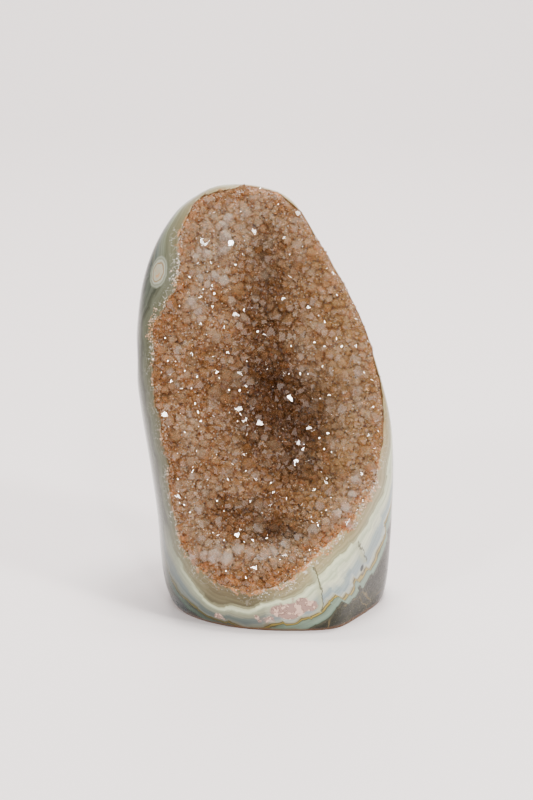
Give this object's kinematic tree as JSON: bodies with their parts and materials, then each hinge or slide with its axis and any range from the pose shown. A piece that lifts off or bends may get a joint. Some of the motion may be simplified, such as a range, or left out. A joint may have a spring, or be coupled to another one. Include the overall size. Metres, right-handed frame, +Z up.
{
  "type": "druzy quartz geode",
  "caption": "Free-standing polished agate geode half with a flat cut base and a leaning oval face lined with a brown crust of small quartz crystals.",
  "frame": {"origin": "on the cut base, under the middle of the object's box", "axes": "+Z up through the top of the stone, -Y out of the crystal face, +X to the right as the crystal face is looked at"},
  "size_m": [0.078, 0.0636, 0.1294],
  "materials": {
    "agate": "polished banded grey-green agate with pale mint, blue-white and pinkish layers and dark grey basalt at the lower right",
    "druzy_quartz": "glassy translucent quartz points over orange-brown iron-stained ground"
  },
  "bodies": {
    "root": {"agate_stone": "agate", "crystal_crust": "druzy_quartz"}
  },
  "joints": []
}
